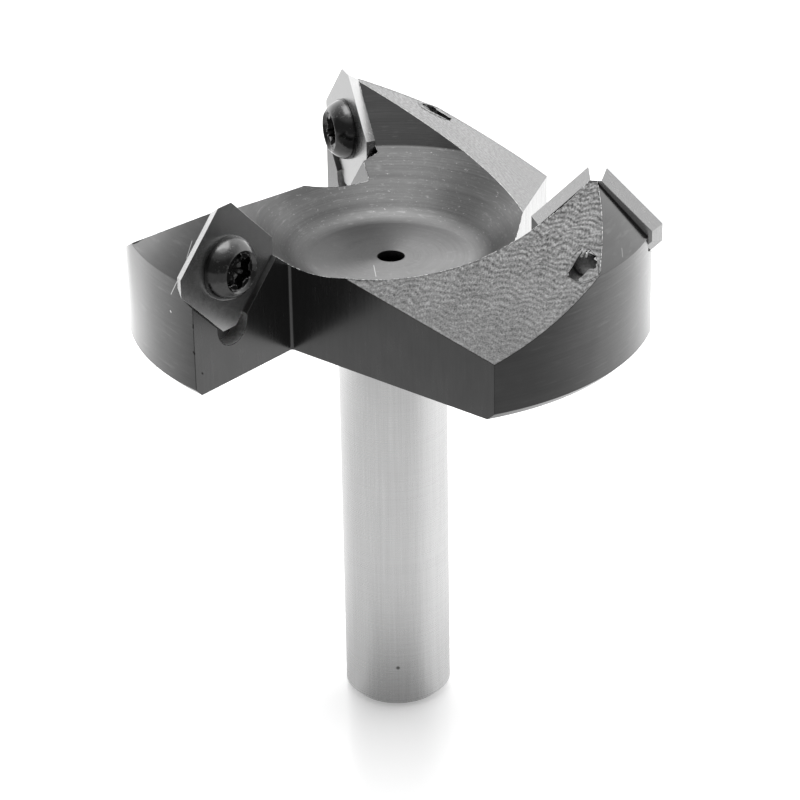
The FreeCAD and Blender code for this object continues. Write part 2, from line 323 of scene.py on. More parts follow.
class StageLook(bpy.types.PropertyGroup):
    """Floor, light and camera."""

    lens: FloatProperty(name="Lens", description="Focal length of the camera in millimetres", default=145.632)
    lamp_power: FloatProperty(
        name="Lamp power", description="Power of the lamp over the tool", default=2.0, unit="POWER"
    )
    floor_size: FloatProperty(
        name="Floor size", description="Radius of the floor", default=1.6, unit="LENGTH"
    )


LOOKS = {
    "cutter_body_look": BodyLook,
    "burr_look": BurrLook,
    "insert_look": InsertLook,
    "screw_look": ScrewLook,
    "stage_look": StageLook,
}


# Shader maths as expressions


class Wire:
    """An output socket that adds Math nodes when it is used in arithmetic."""

    def __init__(self, tree, socket):
        self.tree = tree
        self.socket = socket

    def math(self, operation, *others):
        return self.tree.math(operation, self, *others)

    def __add__(self, other):
        return self.math("ADD", other)

    __radd__ = __add__

    def __mul__(self, other):
        return self.math("MULTIPLY", other)

    __rmul__ = __mul__

    def __sub__(self, other):
        return self.math("SUBTRACT", other)

    def __rsub__(self, other):
        return self.tree.math("SUBTRACT", other, self)

    def __truediv__(self, other):
        return self.math("DIVIDE", other)

    def __pow__(self, other):
        return self.math("POWER", other)

    def clamp(self, low=0.0, high=1.0):
        return self.math("MAXIMUM", low).math("MINIMUM", high)

    def ramp(self, low, high):
        """Rise smoothly from 0 to 1 between two values."""
        inputs = {"Value": self, "From Min": low, "From Max": high}
        return self.tree.wire("ShaderNodeMapRange", {"interpolation_type": "SMOOTHSTEP"}, inputs)


class Tree:
    """A node tree in which one method makes every kind of node."""

    def __init__(self, node_tree):
        self.nodes = node_tree.nodes
        self.links = node_tree.links

    def node(self, kind, settings=None, inputs=None):
        made = self.nodes.new(kind)
        for name, value in (settings or {}).items():
            setattr(made, name, value)
        for key, value in (inputs or {}).items():
            if isinstance(value, Wire):
                self.links.new(value.socket, made.inputs[key])
            else:
                made.inputs[key].default_value = value
        return made

    def wire(self, kind, settings=None, inputs=None, output=0):
        """Add a node and return one of its outputs."""
        return Wire(self, self.node(kind, settings, inputs).outputs[output])

    def math(self, operation, *values):
        return self.wire("ShaderNodeMath", {"operation": operation}, dict(enumerate(values)))

    def vector(self, operation, *values, output=0):
        return self.wire("ShaderNodeVectorMath", {"operation": operation}, dict(enumerate(values)), output)

    def split(self, vector):
        made = self.node("ShaderNodeSeparateXYZ", inputs={0: vector})
        return [Wire(self, made.outputs[i]) for i in range(3)]

    def join(self, x, y, z):
        return self.wire("ShaderNodeCombineXYZ", inputs={0: x, 1: y, 2: z})

    def place(self):
        """Return a point's place on the object, in millimetres."""
        return self.vector("MULTIPLY", self.wire("ShaderNodeTexCoord", output="Object"), (1 / MM,) * 3)

    def attribute(self, name):
        """Return a number that the mesh carries."""
        return self.wire("ShaderNodeAttribute", {"attribute_name": name}, output="Fac")

    def noise(self, vector, scale, detail=2.0, roughness=0.5):
        inputs = {"Vector": vector, "Scale": scale, "Detail": detail, "Roughness": roughness}
        return self.wire("ShaderNodeTexNoise", {"noise_dimensions": "3D"}, inputs)

    def grey(self, value):
        """Turn a number into a neutral colour."""
        return self.wire("ShaderNodeCombineColor", {"mode": "RGB"}, {0: value, 1: value, 2: value})

    def bump(self, height, distance, normal=None, strength=1.0):
        """Bump by a height between 0 and 1 times a distance in metres."""
        inputs = {"Height": height, "Distance": distance, "Strength": strength}
        if normal is not None:
            inputs["Normal"] = normal
        return self.wire("ShaderNodeBump", inputs=inputs)


def new_material(name):
    """Start a material and return it with its tree and its surface shader."""
    material = bpy.data.materials.new(name)
    material.use_nodes = True
    tree = Tree(material.node_tree)
    return material, tree, material.node_tree.nodes["Principled BSDF"]


def finish_metal(tree, shader, tone, rough, normal):
    """Wire a metal's reflectance, roughness and normal into its shader."""
    shader.inputs["Metallic"].default_value = 1.0
    wires = {"Base Color": tree.grey(tone), "Roughness": rough.clamp(0.05, 0.9), "Normal": normal}
    for key, value in wires.items():
        tree.links.new(value.socket, shader.inputs[key])


def edges_of(tree, radius):
    """Return the rounded normal and a mask that is 1 on sharp edges."""
    rounded = tree.wire("ShaderNodeBevel", {"samples": 6}, {"Radius": radius})
    face = tree.wire("ShaderNodeNewGeometry", output="Normal")
    turned = tree.vector("DOT_PRODUCT", rounded, face, output=1)
    return rounded, (1 - turned).ramp(0.012, 0.09)


def with_lines_and_spots(tree, place, tone):
    """Add the thin lines and spots to a tone."""
    for start, end, width, change in LINES_AND_SPOTS:
        along = Vector(end) - Vector(start)
        arm = tree.vector("SUBTRACT", place, start)
        share = (tree.vector("DOT_PRODUCT", arm, tuple(along), output=1) / along.length_squared).clamp()
        nearest = tree.vector("SCALE", tuple(along))
        tree.links.new(share.socket, nearest.socket.node.inputs["Scale"])
        off = tree.vector("DISTANCE", arm, nearest, output=1)
        tone = tone + change * (1 - off.ramp(0.4 * width, width))
    return tone.clamp(0.01, 1.0)


def around(tree, place):
    """Return the distance from the tool's axis, the direction from it in two parts and the height."""
    x, y, z = tree.split(place)
    radius = tree.vector("LENGTH", tree.join(x, y, 0.0), output=1)
    return radius, x / (radius + 0.01), y / (radius + 0.01), z


def ground_steel(look):
    """Bright ground steel of the shank, with fine rings left by the wheel."""
    material, tree, shader = new_material("ground_steel")
    place = tree.place()
    radius, east, north, height = around(tree, place)
    rings = tree.noise(tree.join(radius + 0.15 * east, 0.15 * north, 9.0 * height), 1.0, 3.0, 0.7)
    streaks = tree.noise(tree.join(14.0 * east, 14.0 * north, 0.03 * height), 1.0, 2.0)
    fine = tree.noise(tree.join(45.0 * east, 45.0 * north, 0.12 * height), 1.0, 3.0, 0.7)
    cloud = tree.noise(place, 0.35, 3.0)
    rounded, edge = edges_of(tree, look.edge_break)
    spot = 1 - tree.vector("DISTANCE", place, SPOT, output=1).ramp(0.12, 0.32)
    tone = look.shank_tone * (0.72 + 0.22 * rings + 0.14 * streaks + 0.26 * fine) * (1 - 0.75 * spot)
    rough = 0.16 + 0.16 * rings + 0.08 * cloud + 0.1 * edge
    finish_metal(tree, shader, tone, rough, tree.bump(rings, 0.002 * MM, rounded))
    return material


def turned_black(look):
    """Blackened steel of the head where the lathe left rings about the axis, with painted light and shade by
    zone and along its edges.
    """
    material, tree, shader = new_material("turned_black")
    place = tree.place()
    radius, east, north, height = around(tree, place)
    reach = radius + 0.8 * height
    rings = tree.noise(tree.join(6.0 * reach, 0.8 * east, 0.8 * north), 1.0, 4.0, 0.75)
    scattered = tree.join(1.4 * reach + 2.0 * height, 9.0 * east, 9.0 * north)
    broken = tree.noise(scattered, 1.0, 3.0, 0.6).ramp(0.55, 0.75)
    cloud = tree.noise(place, 0.22, 3.0)
    rounded, edge = edges_of(tree, look.edge_break)
    past_crest = radius.ramp(CREST_RADIUS - 0.1, CREST_RADIUS + 0.1)
    past_step = radius.ramp(STEP_RADIUS - 0.1, STEP_RADIUS + 0.1)
    dish = height.ramp(56.0, 57.0) * (1 - past_crest)
    floor = dish * (1 - radius.ramp(9.0, 11.5))
    cone = dish * (1 - past_step) * (1 - floor)
    upper = dish * past_step
    specks = tree.noise(tree.join(3.0 * reach, 22.0 * east, 22.0 * north), 1.0, 3.0, 0.8).ramp(0.61, 0.74)
    bands = tree.noise(tree.join(1.1 * reach + 7.0, 0.6 * east, 0.6 * north), 1.0, 2.0)
    bevel = height.ramp(63.4, 63.6) * past_crest
    x, y, _ = tree.split(place)
    # Painted light and shade by zone: the dish floor lighter towards +X and darker towards -X, the cone
    # lighter on its flanks towards +X and -X, the upper cone and the bevel darker; the bands on the cone are
    # random tone.
    painted_shade_side = ((0.4 * y - x) / (radius + 0.1)).ramp(-0.1, 0.9)
    across = x / (radius + 0.1)
    painted_flank_light = (0.3 * across.ramp(0.5, 0.85) + 0.2 * (0 - across).ramp(0.85, 0.98)) * radius.ramp(11.8, 13.2)
    bands_and_painted_light = 1 + (0.85 - 1.1 * painted_shade_side) * floor + (0.5 * bands - 0.22 + painted_flank_light) * cone - 0.38 * upper - 0.12 * bevel
    turning = 0.62 - 0.12 * dish + (0.45 + 0.25 * dish) * rings
    turning = turning + (0.5 + 0.2 * dish - 0.5 * floor) * broken * rings
    # The edge mask darkens edges and creases by 0.6, as painted shade.
    tone = look.head_tone * (turning + 0.3 * cloud) * bands_and_painted_light * (1 - 0.6 * edge)
    tone = with_lines_and_spots(tree, place, tone + 0.18 * specks * cone)
    rough = 0.15 + 0.08 * rings + dish * (0.17 + 0.08 * rings - 0.08 * broken)
    normal = tree.bump(rings, 0.012 * MM, rounded, strength=0.25 + 0.75 * dish)
    finish_metal(tree, shader, tone, rough, normal)
    return material


def milled_black(look):
    """Blackened steel of the flat milled faces, with faint marks of the cutter's side."""
    material, tree, shader = new_material("milled_black")
    place = tree.place()
    marks = tree.noise(tree.vector("MULTIPLY", place, (3.2, 3.2, 0.25)), 1.0, 3.0, 0.6)
    cloud = tree.noise(place, 0.3, 2.0)
    rounded, edge = edges_of(tree, look.edge_break)
    # The edge mask darkens edges and creases by 0.6, as painted shade.
    tone = look.head_tone * (0.82 + 0.3 * marks + 0.2 * cloud) * (1 - 0.6 * edge)
    rough = 0.16 + 0.12 * marks + 0.06 * cloud
    finish_metal(tree, shader, with_lines_and_spots(tree, place, tone), rough, tree.bump(marks, 0.004 * MM, rounded))
    return material


def scaled_black(look, name="scaled_black", edge_shade=0.75):
    """Blackened steel of the sloping backs, whose milling marks lie like fish scales, with painted glints on
    the marks and, where edge_shade is given, painted shade along the edges.
    """
    material, tree, shader = new_material(name)
    ridge_glint = tree.attribute("ridge_glint")
    place = tree.place()
    grain = tree.noise(place, 5.5, 3.0, 0.75)
    cloud = tree.noise(place, 0.25, 2.0)
    rounded, edge = edges_of(tree, look.edge_break)
    # The attribute read above paints glints on the marks' ridges and light that changes down the slope; grain
    # and cloud are random tone.
    tone = look.head_tone * (0.23 * cloud + 0.6 * grain.ramp(0.34, 0.66) + 1.15 * ridge_glint)
    rough = 0.3 + 0.15 * grain
    normal = tree.bump(grain, 0.03 * MM, rounded if edge_shade else None)
    finish_metal(tree, shader, tone * (1 - edge_shade * edge), rough, normal)
    return material


def seat_shaded_black(look):
    """Blackened steel of the seats' narrow walls, painted darker as shade in the pockets and lighter along
    their edges as a painted highlight.
    """
    material, tree, shader = new_material("seat_shaded_black")
    grain = tree.noise(tree.place(), 2.5, 3.0)
    rounded, edge = edges_of(tree, look.edge_break)
    # Darker than the milled faces as painted shade, and lighter along the edges as a painted highlight.
    tone = look.head_tone * (0.45 + 0.4 * grain + 1.0 * edge)
    finish_metal(tree, shader, tone, 0.3 + 0.2 * grain, tree.bump(grain, 0.006 * MM, rounded))
    return material


def drilled_steel(name, tone):
    """Torn bare steel inside a drilled hole, its tone raised to stand in for light inside the hole: partly
    real bare steel, partly painted light.
    """
    material, tree, shader = new_material(name)
    grain = tree.noise(tree.place(), 3.0, 3.0, 0.7)
    finish_metal(tree, shader, tone * (0.5 + grain), 0.4 + 0.3 * grain, tree.bump(grain, 0.03 * MM))
    return material


def bright_burr():
    """Bare steel of the burrs."""
    material, tree, shader = new_material("bare_burr")
    grain = tree.noise(tree.place(), 6.0, 3.0)
    finish_metal(tree, shader, 0.6 + 0.4 * grain, 0.4 + 0.2 * grain, tree.bump(grain, 0.01 * MM))
    shader.inputs["Metallic"].default_value = 0.3
    return material


def carbide(look):
    """Ground tungsten carbide, faintly mottled, with fine parallel marks."""
    material, tree, shader = new_material("ground_carbide")
    place = tree.place()
    mottle = tree.noise(place, 1.6, 3.0, 0.6)
    face = tree.wire("ShaderNodeNewGeometry", output="Normal")
    side = tree.attribute("side")
    lines = tree.noise(tree.vector("MULTIPLY", place, (5.0, 5.0, 0.4)), 1.0, 2.0) * (0.25 + 0.75 * side)
    tone = look.tone * (0.76 + 0.14 * mottle + 0.06 * side + 0.16 * lines)
    rough = 0.19 + 0.1 * mottle + 0.04 * lines
    finish_metal(tree, shader, tone, rough, tree.bump(lines, 0.0012 * MM, face))
    return material


def black_screw(look):
    """Black oxide on the screws, worn bright on the socket's edges, with painted light on their end faces."""
    material, tree, shader = new_material("black_oxide")
    place = tree.place()
    grain = tree.noise(place, 3.5, 4.0, 0.7)
    rounded, edge = edges_of(tree, 0.09 * MM)
    worn = edge * grain.ramp(0.52, 0.62)
    # The end faces are made lighter as painted light, standing in for light that reaches down the holes.
    tone = look.tone * (0.7 + 0.6 * grain) + 0.4 * worn + 0.5 * grain * tree.attribute("end")
    scuffs = tree.noise(place, 1.4, 5.0, 0.75).ramp(0.55, 0.68)
    tone = tone + 0.05 * scuffs
    rough = 0.08 + 0.14 * grain + 0.2 * scuffs
    finish_metal(tree, shader, tone, rough, tree.bump(grain, 0.008 * MM, rounded))
    return material


# Meshes


def new_piece(name, mesh, replaced=()):
    """Link a mesh that lies in the frame's own place as a piece of the tool."""
    piece = bpy.data.objects.new(name, mesh)
    bpy.context.scene.collection.objects.link(piece)
    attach(piece, "root")
    if replaced:
        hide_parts(*replaced)
    return piece


def inside(points, starts, ends):
    """Tell for each 2D point whether it lies inside the outline made of the segments."""
    within = np.zeros(len(points), bool)
    for (x0, y0), (x1, y1) in zip(starts, ends):
        if y0 == y1:
            continue
        spans = (y0 > points[:, 1]) != (y1 > points[:, 1])
        within ^= spans & (points[:, 0] < x0 + (points[:, 1] - y0) * (x1 - x0) / (y1 - y0))
    return within


def distance_to(points, starts, ends):
    """Return each 2D point's distance to the nearest of the segments."""
    nearest = np.full(len(points), 1e9)
    for start, end in zip(starts, ends):
        along = end - start
        share = np.clip(((points - start) @ along) / max(along @ along, 1e-12), 0, 1)
        nearest = np.minimum(nearest, np.linalg.norm(points - start - share[:, None] * along, axis=1))
    return nearest


def drift(u, v, size, seed):
    """Return smooth random values between 0 and 1, with a new value in every cell of the given size."""
    table = np.random.default_rng(seed).random((CELLS, CELLS))
    i, j = np.floor(u / size).astype(int), np.floor(v / size).astype(int)
    s, t = u / size - i, v / size - j
    s, t = s * s * (3 - 2 * s), t * t * (3 - 2 * t)
    i, j, next_i, next_j = i % CELLS, j % CELLS, (i + 1) % CELLS, (j + 1) % CELLS
    near = table[i, j] * (1 - s) + table[next_i, j] * s
    far = table[i, next_j] * (1 - s) + table[next_i, next_j] * s
    return near * (1 - t) + far * t


def scale_marks(u, v, look):
    """Return the depth of the milling marks and a painted brightness for each point, both from 0 to 1:
    painted glints on the ridges and beads, and painted light that changes down the slope.

    u runs out along the crest of the slope and v down it, in millimetres. The rows run along u and
    lift in arches, and the feed of the cutter beads them.
    """
    rows = look.mark_rows / MM
    column = u / 3.1 + 0.9 * drift(u, v, 5.0, 1) + 0.35 * drift(u, v, 1.7, 2)
    row = v / rows + 0.85 * np.abs(np.sin(np.pi * column)) + 1.1 * drift(u, v, 1.9, 3)
    clear = drift(u, v, 3.5, 4)
    ridge_glint = 0.5 + 0.5 * np.cos(math.tau * row)
    across = u / 0.34 + 0.5 * np.floor(row) + 1.6 * drift(u, v, 1.1, 5)
    bead = (0.5 + 0.5 * np.cos(math.tau * across)) * drift(u, v, 0.3, 7)
    grain = drift(u, v, 0.19, 6) * drift(u, v, 0.25, 8)
    height = (0.25 + 0.75 * ridge_glint) * (0.25 + 0.25 * clear + 1.1 * bead) * 0.75 + 0.6 * grain
    # Painted brightness: glints on the ridges and beads, and painted light that changes down the slope.
    near = np.clip(1.9 - 0.06 * v, 0.3, 1.45) * (height - 0.2) + 0.0105 * v
    return 1 - 0.75 * np.clip(height, 0, 1), np.clip(near, 0, 1)


def mill_slope(bm, wing, look, surface, ridge_glint):
    """Lay a close net of points over the sloping back of a wing, sink the milling marks into it and store
    their painted glints.
    """
    out, fall, normal = slope_axes(wing)
    crest = Vector((0, 0, RELIEF_HEIGHT * MM))
    slope = [
        face
        for face in bm.faces
        if face.normal.dot(normal) > 0.9995
        and all(abs((vert.co - crest).dot(normal)) < TOUCH * MM for vert in face.verts)
    ]
    if not slope:
        raise RuntimeError(f"wing {wing + 1} has no sloping back")
    chosen = set(slope)
    border = [e for f in slope for e in f.edges if sum(g in chosen for g in e.link_faces) == 1]
    for edge in border:
        cuts = int(edge.calc_length() / (4 * look.mark_grid))
        if cuts:
            bmesh.ops.bisect_edges(bm, edges=[edge], cuts=cuts)
    # Lists and a dict keep their order, so that every run lays the same net
    border = [e for f in slope for e in f.edges if sum(g in chosen for g in e.link_faces) == 1]
    rim = sorted(dict.fromkeys(v for e in border for v in e.verts), key=lambda v: v.index)
    bmesh.ops.delete(bm, geom=slope, context="FACES_KEEP_BOUNDARY")
    place = {vert: index for index, vert in enumerate(rim)}
    flat = np.array([((v.co - crest).dot(out), (v.co - crest).dot(fall)) for v in rim]) / MM
    pairs = [(place[a], place[b]) for a, b in (e.verts for e in border)]
    starts, ends = flat[[a for a, _ in pairs]], flat[[b for _, b in pairs]]

    grid = look.mark_grid / MM
    low, high = flat.min(0), flat.max(0)
    us, vs = np.meshgrid(np.arange(low[0], high[0], grid), np.arange(low[1], high[1], grid * ROW_SHARE))
    us[1::2] += grid / 2
    points = np.stack([us.ravel(), vs.ravel()], axis=1)
    points = points[inside(points, starts, ends)]
    depth_in = distance_to(points, starts, ends)
    points, depth_in = points[depth_in > 0.5 * grid], depth_in[depth_in > 0.5 * grid]

    net = [Vector(p) for p in flat] + [Vector(p) for p in points]
    made, _, corners, origin, _, _ = delaunay_2d_cdt(net, pairs, [], 2, 1e-7)
    depth, near = scale_marks(points[:, 0], points[:, 1], look)
    # The points carry the painted glints of the marks.
    for vert, bright in zip(rim, scale_marks(flat[:, 0], flat[:, 1], look)[1]):
        vert[ridge_glint] = bright
    sunk = depth * look.mark_depth * np.clip(depth_in / MARK_FADE, 0, 1)
    verts = []
    for number, sources in enumerate(origin):
        source = sources[0]
        if source < len(rim):
            verts.append(rim[source])
            continue
        u, v = made[number]
        vert = bm.verts.new(crest + out * (u * MM) + fall * (v * MM) - normal * sunk[source - len(rim)])
        vert[ridge_glint] = near[source - len(rim)]
        verts.append(vert)
    middles = np.array([[sum(made[i][k] for i in c) / 3 for k in (0, 1)] for c in corners])
    for keep, corner in zip(inside(middles, starts, ends), corners):
        if not keep:
            continue
        face = bm.faces.new([verts[i] for i in corner])
        face.normal_update()
        if face.normal.dot(normal) < 0:
            face.normal_flip()
        face[surface] = SLOPE + wing


def on_profile(points, start, end, centre):
    """Tell for each (radius, height) point whether it lies on a stretch of the turned profile."""
    start, end = np.array(start), np.array(end)
    if centre is not None:
        size = np.linalg.norm(start - centre)
        low, high = np.minimum(start, end) - PROFILE_TOUCH, np.maximum(start, end) + PROFILE_TOUCH
        near = np.abs(np.linalg.norm(points - centre, axis=-1) - size) < 0.03
        return near & (points >= low).all(-1) & (points <= high).all(-1)
    along = end - start
    share = np.clip(((points - start) @ along) / (along @ along), 0, 1)
    return np.linalg.norm(points - start - share[..., None] * along, axis=-1) < PROFILE_TOUCH


def name_surfaces(bm, surface):
    """Mark every face with the turned stretch or the round wall that it belongs to."""
    for face in bm.faces:
        if face[surface] >= SLOPE:
            continue
        corners = np.array([v.co for v in face.verts]) / MM
        normal = np.array(face.normal)
        profile = np.stack([np.hypot(corners[:, 0], corners[:, 1]), corners[:, 2]], axis=1)
        middle = corners.mean(0)
        outward = normal[:2] @ middle[:2] / max(np.hypot(*middle[:2]), 1e-6)
        for code, (_, start, end, centre) in enumerate(PROFILE, start=1):
            along = np.subtract(end, start)
            facing = outward * along[1] - normal[2] * along[0]
            if facing / np.linalg.norm(along) > 0.9 and on_profile(profile, start, end, centre).all():
                face[surface] = code
                break
        if face[surface]:
            continue
        for wing in range(WINGS):
            turn = np.array(turn_of(wing))
            turned, toward = corners @ turn, normal @ turn
            for row, (point, axis, size) in enumerate(ROUND_WALLS):
                arm = turned - point
                arm -= np.outer(arm @ axis, axis)
                near = np.abs(np.linalg.norm(arm, axis=1) - size) < TOUCH
                if near.all() and abs(toward @ axis) < 0.05:
                    face[surface] = ROUND_WALL + WALL_STEP * row + wing
            arm = np.hypot(turned[:, 0] - INSERT_OUT, turned[:, 2] - INSERT_HEIGHT)
            deep = turned[:, 1].max() < -SEAT_OFFSET - 1
            if not face[surface] and arm.max() < HOLE_RADIUS + TOUCH and deep:
                face[surface] = DRILL_END
            half = (SEAT_OFFSET - FACE_OFFSET) / 2
            within = np.abs(turned - (INSERT_OUT, -FACE_OFFSET - half, INSERT_HEIGHT)).max(axis=0)
            upright = abs(toward[1]) < 0.9
            if not face[surface] and upright and (within < (10.0, half + TOUCH, 10.0)).all():
                face[surface] = SEAT_WALL


def true_normals(mesh):
    """Return the normal of every face corner, taken from the surface that the face belongs to."""
    count = len(mesh.loops)
    corner_vert = np.empty(count, int)
    mesh.loops.foreach_get("vertex_index", corner_vert)
    face_of = np.repeat(np.arange(len(mesh.polygons)), [p.loop_total for p in mesh.polygons])
    flat = np.empty(len(mesh.polygons) * 3)
    mesh.polygons.foreach_get("normal", flat)
    flat = flat.reshape(-1, 3)
    area = np.empty(len(mesh.polygons))
    mesh.polygons.foreach_get("area", area)
    codes = np.empty(len(mesh.polygons), int)
    mesh.attributes["surface"].data.foreach_get("value", codes)
    verts = np.empty(len(mesh.vertices) * 3)
    mesh.vertices.foreach_get("co", verts)
    points = verts.reshape(-1, 3)[corner_vert] / MM
    normals = flat[face_of].copy()
    code = codes[face_of]
    radius = np.maximum(np.hypot(points[:, 0], points[:, 1]), 1e-6)
    spoke = points[:, :2] / radius[:, None]
    for number, (_, start, end, centre) in enumerate(PROFILE, start=1):
        own = code == number
        if centre is None:
            along = np.subtract(end, start) / math.dist(start, end)
            meridian = np.tile([along[1], -along[0]], (own.sum(), 1))
        else:
            meridian = np.subtract(centre, np.stack([radius[own], points[own, 2]], axis=1))
            meridian /= np.linalg.norm(meridian, axis=1)[:, None]
        normals[own] = np.column_stack([spoke[own] * meridian[:, :1], meridian[:, 1]])
    for wing in range(WINGS):
        turn = np.array(turn_of(wing))
        for number, (point, axis, _) in enumerate(ROUND_WALLS):
            own = code == ROUND_WALL + WALL_STEP * number + wing
            arm = point - points[own] @ turn
            arm -= np.outer(arm @ axis, axis)
            normals[own] = (arm / np.linalg.norm(arm, axis=1)[:, None]) @ turn.T
    sloped = code >= SLOPE
    sums = np.zeros((len(mesh.vertices), 3))
    np.add.at(sums, corner_vert[sloped], flat[face_of[sloped]] * area[face_of[sloped]][:, None])
    smooth = sums[corner_vert[sloped]]
    normals[sloped] = smooth / np.linalg.norm(smooth, axis=1)[:, None]
    return normals


def slot_of(code):
    """Return the material slot of a face from the number that marks it."""
    if code >= SLOPE:
        return SCALED_SLOT
    if code in (DRILL_END, SEAT_WALL):
        return TAPPED_SLOT if code == DRILL_END else SEAT_SLOT
    if code >= ROUND_WALL:
        return WALL_SLOTS[(code - ROUND_WALL) // WALL_STEP]
    if code == 0:
        return MILLED_SLOT
    return GROUND_SLOT if PROFILE[code - 1][0] in GROUND else TURNED_SLOT


class SURFACING_OT_body(bpy.types.Operator):
    """Finish the cutter body: true normals, milling marks on its slopes and its steel finishes"""

    bl_idname = "surfacing.body"
    bl_label = "Cutter body"

    def execute(self, context):
        look = context.scene.cutter_body_look
        bm = bmesh.new()
        bm.from_mesh(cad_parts["cutter_body"].data)
        bmesh.ops.remove_doubles(bm, verts=bm.verts, dist=0.001 * MM)
        surface = bm.faces.layers.int.new("surface")
        # Layer of painted glints on the slopes' marks.
        ridge_glint = bm.verts.layers.float.new("ridge_glint")
        for wing in range(WINGS):
            bm.normal_update()
            bm.verts.index_update()
            mill_slope(bm, wing, look, surface, ridge_glint)
        bmesh.ops.triangulate(bm, faces=[f for f in bm.faces if len(f.verts) > 3])
        bm.normal_update()
        name_surfaces(bm, surface)
        for face in bm.faces:
            face.smooth = True
            face.material_index = slot_of(face[surface])
        mesh = mesh_of("cutter_body_finished", bm)
        for make in (ground_steel, turned_black, milled_black, scaled_black):
            mesh.materials.append(make(look))
        # The raised tones of the tapped and drilled walls are partly bare steel and partly painted light.
        mesh.materials.append(drilled_steel("tapped_steel", 0.26))
        # The seats' walls take a darker copy of the black, as painted shade.
        mesh.materials.append(seat_shaded_black(look))
        mesh.materials.append(drilled_steel("drilled_steel", 0.75))
        mesh.normals_split_custom_set(true_normals(mesh).tolist())
        mesh.attributes.remove(mesh.attributes["surface"])
        new_piece("cutter_body_finished", mesh, ["cutter_body"])
        return {"FINISHED"}


# Geometry Nodes


def new_tree(name, inputs):
    """Start a Geometry Nodes tree with named inputs and one geometry output."""
    group = bpy.data.node_groups.new(name, "GeometryNodeTree")
    for label, kind in inputs.items():
        group.interface.new_socket(name=label, in_out="INPUT", socket_type=kind)
    group.interface.new_socket(name="Geometry", in_out="OUTPUT", socket_type="NodeSocketGeometry")
    tree = Tree(group)
    given = {s.name: Wire(tree, s) for s in tree.node("NodeGroupInput").outputs if s.name}
    return group, tree, given


def end_tree(tree, geometry, material):
    """Make instances real, give them their material and end the tree."""
    real = tree.wire("GeometryNodeRealizeInstances", inputs={"Geometry": geometry})
    dressed = tree.wire("GeometryNodeSetMaterial", inputs={"Geometry": real, "Material": material})
    tree.node("NodeGroupOutput", inputs={"Geometry": dressed})


def round_the_axis():
    """Build the tree that repeats a mesh at equal angles about the tool's axis."""
    inputs = {"Geometry": "NodeSocketGeometry", "Count": "NodeSocketInt", "Material": "NodeSocketMaterial"}
    group, tree, given = new_tree("Round the axis", inputs)
    points = tree.wire("GeometryNodePoints", inputs={"Count": given["Count"]})
    turned = tree.join(0.0, 0.0, math.tau * tree.wire("GeometryNodeInputIndex") / given["Count"])
    placed = {"Points": points, "Instance": given["Geometry"], "Rotation": turned}
    end_tree(tree, tree.wire("GeometryNodeInstanceOnPoints", inputs=placed), given["Material"])
    return group


def beads_along():
    """Build the tree that lays an uneven bead along the edges of a mesh."""
    inputs = {
        "Geometry": "NodeSocketGeometry",
        "Spacing": "NodeSocketFloat",
        "Thickness": "NodeSocketFloat",
        "Seed": "NodeSocketInt",
        "Material": "NodeSocketMaterial",
    }
    group, tree, given = new_tree("Beads along", inputs)
    path = tree.wire("GeometryNodeMeshToCurve", inputs={"Mesh": given["Geometry"]})
    spaced = {"Curve": path, "Length": given["Spacing"]}
    even = tree.wire("GeometryNodeResampleCurve", {"mode": "LENGTH"}, spaced)
    spread = {2: 0.02, 3: 1.0, "Seed": given["Seed"]}
    swell = tree.wire("FunctionNodeRandomValue", {"data_type": "FLOAT"}, spread, 1) ** 2.0
    swollen = {"Curve": even, "Radius": given["Thickness"] * swell}
    shaped = tree.wire("GeometryNodeSetCurveRadius", inputs=swollen)
    section = tree.wire("GeometryNodeCurvePrimitiveCircle", inputs={"Resolution": 6, "Radius": 1.0})
    solid = tree.node(
        "GeometryNodeCurveToMesh", inputs={"Curve": shaped, "Profile Curve": section, "Fill Caps": True}
    )
    if "Scale" in solid.inputs:
        tree.links.new(tree.wire("GeometryNodeInputRadius").socket, solid.inputs["Scale"])
    end_tree(tree, Wire(tree, solid.outputs[0]), given["Material"])
    return group


def settle(mesh, group, values):
    """Run a tree over a mesh and return the result as a plain mesh."""
    carrier = bpy.data.objects.new("carrier", mesh)
    bpy.context.scene.collection.objects.link(carrier)
    modifier = carrier.modifiers.new("tree", "NODES")
    modifier.node_group = group
    for item in group.interface.items_tree:
        if item.in_out == "INPUT" and item.name in values:
            modifier[item.identifier] = values[item.name]
    graph = bpy.context.evaluated_depsgraph_get()
    made = bpy.data.meshes.new_from_object(carrier.evaluated_get(graph), depsgraph=graph)
    carrier.modifiers.clear()
    bpy.data.objects.remove(carrier)
    if not made.polygons:
        raise RuntimeError(f"{group.name} made nothing")
    return made


def mesh_of(name, bm):
    """Turn a bmesh into a mesh and free it."""
    mesh = bpy.data.meshes.new(name)
    bm.to_mesh(mesh)
    bm.free()
    return mesh


